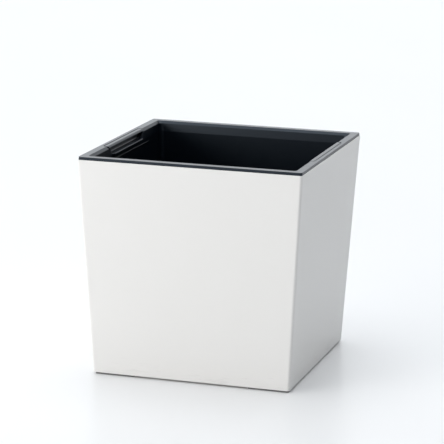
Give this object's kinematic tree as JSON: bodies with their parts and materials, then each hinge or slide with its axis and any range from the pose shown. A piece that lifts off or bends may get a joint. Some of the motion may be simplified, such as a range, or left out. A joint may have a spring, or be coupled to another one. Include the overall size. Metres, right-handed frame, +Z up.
{
  "type": "self watering planter",
  "caption": "Square tapered planter with a lift-out liner, pull-up handles, wicking cups, filler tube and water level float over a reservoir.",
  "frame": {"origin": "on the floor under the centre of the square pot, at the underside of the feet", "axes": "+Z up, -Y the front, +X the right-hand handle side"},
  "size_m": [0.2998, 0.2998, 0.292],
  "materials": {
    "white_shell": "satin, smooth moulded",
    "foot_rubber": "matt",
    "seal_rubber": "matt",
    "plug_plastic": "fine texture",
    "liner_plastic": "fine spark texture, satin on the rim",
    "handle_plastic": "fine spark texture, satin where it is held",
    "cup_plastic": "matt moulded",
    "tube_plastic": "matt moulded",
    "clip_plastic": "matt moulded",
    "lid_plastic": "fine texture",
    "pin_steel": "drawn wire",
    "clear_window": "clear moulded plastic",
    "float_foam": "closed cell foam skin",
    "rod_plastic": "smooth",
    "marker_red": "gloss"
  },
  "bodies": {
    "pot": {"outer_pot": "white_shell", "foot_front_left": "foot_rubber", "foot_front_right": "foot_rubber", "foot_back_left": "foot_rubber", "foot_back_right": "foot_rubber"},
    "plug": {"drain_plug": "plug_plastic", "drain_seal": "seal_rubber"},
    "inner_pot": {"liner": "liner_plastic", "wick_cup_front_left": "cup_plastic", "wick_cup_front_right": "cup_plastic", "wick_cup_back_left": "cup_plastic", "wick_cup_back_right": "cup_plastic", "filler_tube": "tube_plastic", "lid_pin": "pin_steel", "gauge_tube": "tube_plastic", "gauge_window": "clear_window", "float_cage": "cup_plastic", "tube_clip": "clip_plastic"},
    "left_handle": {"handle_left": "handle_plastic"},
    "right_handle": {"handle_right": "handle_plastic"},
    "lid": {"filler_lid": "lid_plastic"},
    "level_float": {"float": "float_foam", "float_rod": "rod_plastic", "level_marker": "marker_red"}
  },
  "joints": [
    {"name": "liner_lift", "type": "slide", "parent": "pot", "child": "inner_pot", "axis": [0, 0, 1], "range_m": [0, 0.3]},
    {"name": "handle_left_pull", "type": "slide", "parent": "inner_pot", "child": "left_handle", "axis": [0, 0, 1], "range_m": [0, 0.045]},
    {"name": "handle_right_pull", "type": "slide", "parent": "inner_pot", "child": "right_handle", "axis": [0, 0, 1], "range_m": [0, 0.045]},
    {"name": "lid_hinge", "type": "hinge", "parent": "inner_pot", "child": "lid", "pos_m": [0.098, -0.1185, 0.2635], "axis": [1, 0, 0], "range_deg": [0, 110]},
    {"name": "float_rise", "type": "slide", "parent": "inner_pot", "child": "level_float", "axis": [0, 0, 1], "range_m": [0, 0.036]},
    {"name": "plug_turn", "type": "hinge", "parent": "pot", "child": "plug", "pos_m": [0, 0, 0.0105], "axis": [0, 0, 1], "range_deg": [0, 90]}
  ]
}
